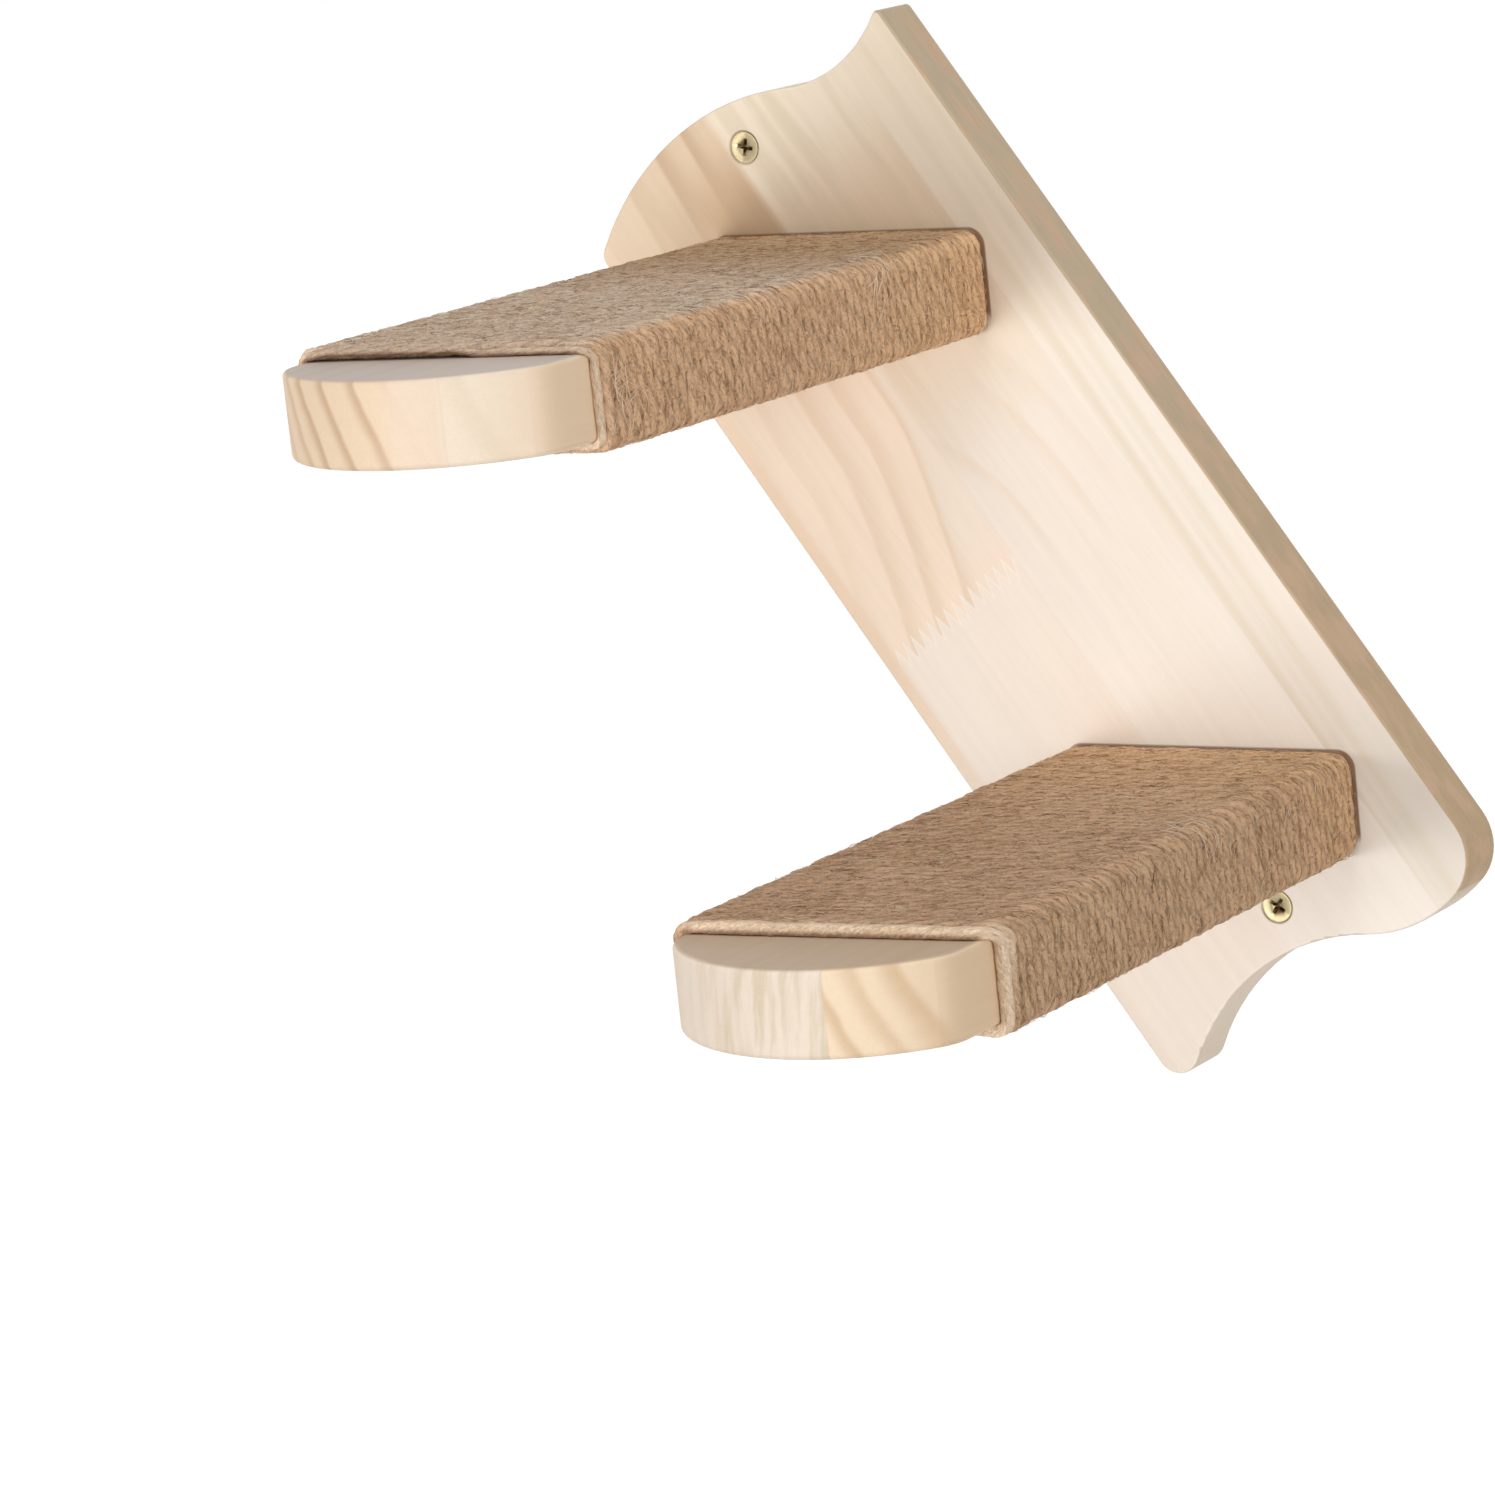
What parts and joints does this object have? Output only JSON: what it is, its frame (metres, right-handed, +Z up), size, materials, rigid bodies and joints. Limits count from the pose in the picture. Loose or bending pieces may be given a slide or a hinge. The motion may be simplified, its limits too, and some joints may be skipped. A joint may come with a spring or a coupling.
{
  "type": "cat wall stairs",
  "caption": "Wall-mounted cat stairs: a leaning wavy-ended pine panel carries staggered treads wound with jute twine, their rounded front ends left bare.",
  "frame": {"origin": "on the wall plane behind the panel, midway between the two wall screws", "axes": "+Y into the wall, the treads reach out along -Y, +Z up, +X towards the lower tread"},
  "size_m": [0.309, 0.3313, 0.3568],
  "materials": {
    "pine": "planed and sanded pale pine, unvarnished",
    "beech": "plain turned beech",
    "jute": "raw fuzzy twisted jute twine",
    "brass": "pale brass-coloured plating"
  },
  "bodies": {
    "root": {"back_board": "pine", "wall_screws": "brass", "upper_step_board": "pine", "upper_step_screws": "brass", "upper_step_dowels": "beech", "upper_twine_turns": "jute", "upper_twine_sleeve": "jute", "lower_step_board": "pine", "lower_step_screws": "brass", "lower_step_dowels": "beech", "lower_twine_turns": "jute", "lower_twine_sleeve": "jute"}
  },
  "joints": []
}
